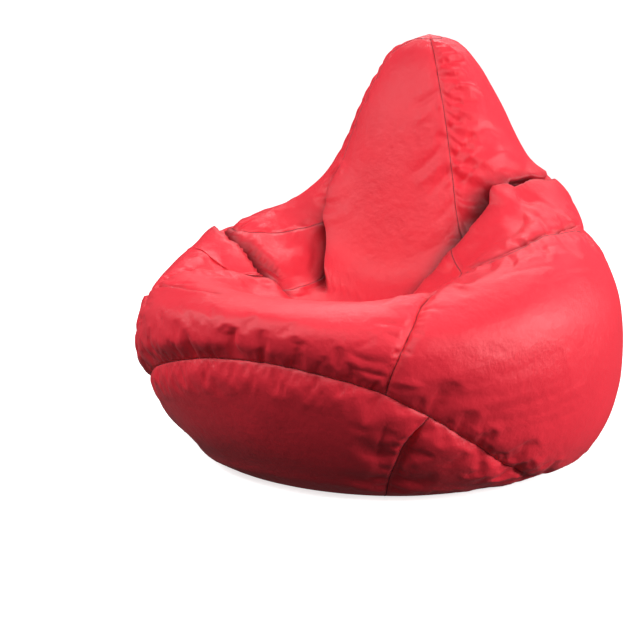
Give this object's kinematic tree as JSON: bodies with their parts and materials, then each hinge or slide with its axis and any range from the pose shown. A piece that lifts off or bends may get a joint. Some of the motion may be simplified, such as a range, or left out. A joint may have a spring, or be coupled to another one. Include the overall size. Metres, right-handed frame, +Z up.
{
  "type": "bean bag chair",
  "caption": "Pear-shaped bean bag chair: a panelled cloth cover with a flat floor disc, a tip cap and a rear zip around a loose bead fill, slumped into a seat with a backrest.",
  "frame": {"origin": "centre of the floor disc, on the floor", "axes": "+Z up, the seat faces -Y, the sitter's left is +X"},
  "size_m": [1.0752, 1.0863, 0.942],
  "materials": {
    "cover_cloth": "smooth coated weave with a soft sheen",
    "base_cloth": "heavier matt coated weave",
    "beads": "loose expanded beads",
    "zip_tape": "twill tape",
    "zip_teeth": "moulded nylon",
    "zip_metal": "satin plated",
    "label": "blank woven satin tape"
  },
  "bodies": {
    "bag": {"centre_panel": "cover_cloth", "upper_panel_left": "cover_cloth", "upper_panel_right": "cover_cloth", "lower_panel_left": "cover_cloth", "lower_panel_right": "cover_cloth", "base_front": "cover_cloth", "base_left": "cover_cloth", "base_right": "cover_cloth", "floor_disc": "base_cloth", "tip_cap": "cover_cloth", "bead_fill": "beads", "zip_tape_left": "zip_tape", "zip_tape_right": "zip_tape", "zip_chain_left": "zip_teeth", "zip_chain_right": "zip_teeth", "zip_stop_upper": "zip_metal", "zip_stop_lower": "zip_metal", "care_label": "label"},
    "slider": {"zip_slider": "zip_metal"},
    "pull": {"zip_pull": "zip_metal"}
  },
  "joints": [
    {"name": "zip_slide", "type": "slide", "parent": "bag", "child": "slider", "axis": [0, -0.2256, 0.9742], "range_m": [-0.235, 0]},
    {"name": "zip_pull_hinge", "type": "hinge", "parent": "slider", "child": "pull", "pos_m": [0, 0.46633, 0.50856], "axis": [1, 0, 0], "range_deg": [0, 170]}
  ]
}
